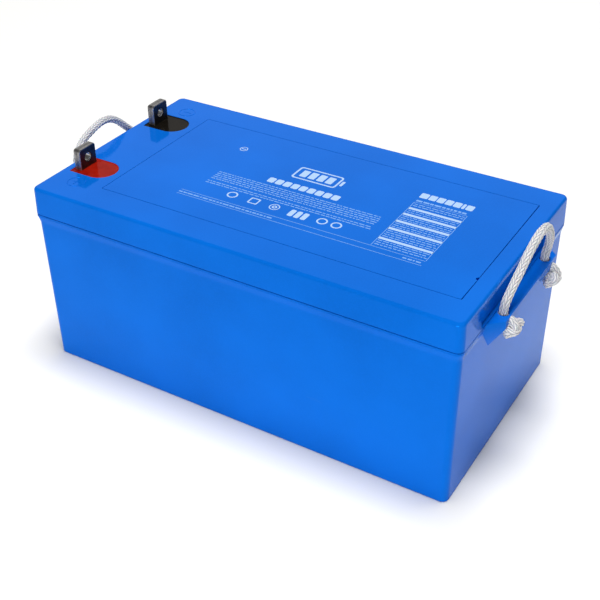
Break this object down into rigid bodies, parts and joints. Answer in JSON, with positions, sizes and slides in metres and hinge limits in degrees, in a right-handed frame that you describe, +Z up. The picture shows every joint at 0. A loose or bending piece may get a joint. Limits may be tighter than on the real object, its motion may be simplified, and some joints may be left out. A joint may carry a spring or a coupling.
{
  "type": "deep cycle battery",
  "caption": "Sealed box-shaped lead-acid battery with two upright flag terminals in coloured potting, a flush vent cover and a rope handle on each end",
  "frame": {"origin": "centre of the box's footprint, on the face it stands on", "axes": "+Z up; +X along the length, from the terminal end to the other end; -Y is the long side on the positive terminal's side"},
  "size_m": [0.579, 0.283, 0.2596],
  "materials": {
    "blue_abs": "gloss, lightly worn",
    "black_rubber": "matte",
    "terminal_lead": "dull lead, worn bright at the edges",
    "cast_lead": "as cast",
    "positive_plate": "matte paste",
    "negative_plate": "matte paste",
    "red_epoxy": "gloss",
    "black_epoxy": "gloss",
    "glass_mat": "matte fibre mat",
    "white_rope": "plaited"
  },
  "bodies": {
    "battery": {"container": "blue_abs", "lid": "blue_abs", "valve_cap_1": "black_rubber", "valve_cap_2": "black_rubber", "valve_cap_3": "black_rubber", "valve_cap_4": "black_rubber", "valve_cap_5": "black_rubber", "valve_cap_6": "black_rubber", "positive_terminal": "terminal_lead", "negative_terminal": "terminal_lead", "terminal_seal_positive": "black_rubber", "terminal_seal_negative": "black_rubber", "positive_potting": "red_epoxy", "negative_potting": "black_epoxy", "positive_plates_1": "positive_plate", "negative_plates_1": "negative_plate", "separator_1": "glass_mat", "positive_plates_2": "positive_plate", "negative_plates_2": "negative_plate", "separator_2": "glass_mat", "positive_plates_3": "positive_plate", "negative_plates_3": "negative_plate", "separator_3": "glass_mat", "positive_plates_4": "positive_plate", "negative_plates_4": "negative_plate", "separator_4": "glass_mat", "positive_plates_5": "positive_plate", "negative_plates_5": "negative_plate", "separator_5": "glass_mat", "positive_plates_6": "positive_plate", "negative_plates_6": "negative_plate", "separator_6": "glass_mat", "intercell_weld_1": "cast_lead", "intercell_weld_2": "cast_lead", "intercell_weld_3": "cast_lead", "intercell_weld_4": "cast_lead", "intercell_weld_5": "cast_lead"},
    "vent_cover": {"vent_cover": "blue_abs"},
    "rope_right_knots": {"rope_knot_right_front": "white_rope", "rope_knot_right_rear": "white_rope"},
    "rope_right_loop": {"rope_handle_right": "white_rope"},
    "rope_left_knots": {"rope_knot_left_front": "white_rope", "rope_knot_left_rear": "white_rope"},
    "rope_left_loop": {"rope_handle_left": "white_rope"}
  },
  "joints": [
    {"name": "vent_cover_lift", "type": "slide", "parent": "battery", "child": "vent_cover", "axis": [0, 0, 1], "range_m": [0, 0.03]},
    {"name": "rope_right_slide", "type": "slide", "parent": "battery", "child": "rope_right_knots", "axis": [0, 0, 1], "range_m": [-0.005, 0]},
    {"name": "rope_right_swing", "type": "hinge", "parent": "rope_right_knots", "child": "rope_right_loop", "pos_m": [0.267, 0, 0.1988], "axis": [0, 1, 0], "range_deg": [-10, 82]},
    {"name": "rope_left_slide", "type": "slide", "parent": "battery", "child": "rope_left_knots", "axis": [0, 0, 1], "range_m": [-0.005, 0.008]},
    {"name": "rope_left_swing", "type": "hinge", "parent": "rope_left_knots", "child": "rope_left_loop", "pos_m": [-0.267, 0, 0.1988], "axis": [0, -1, 0], "range_deg": [-4, 88]}
  ]
}
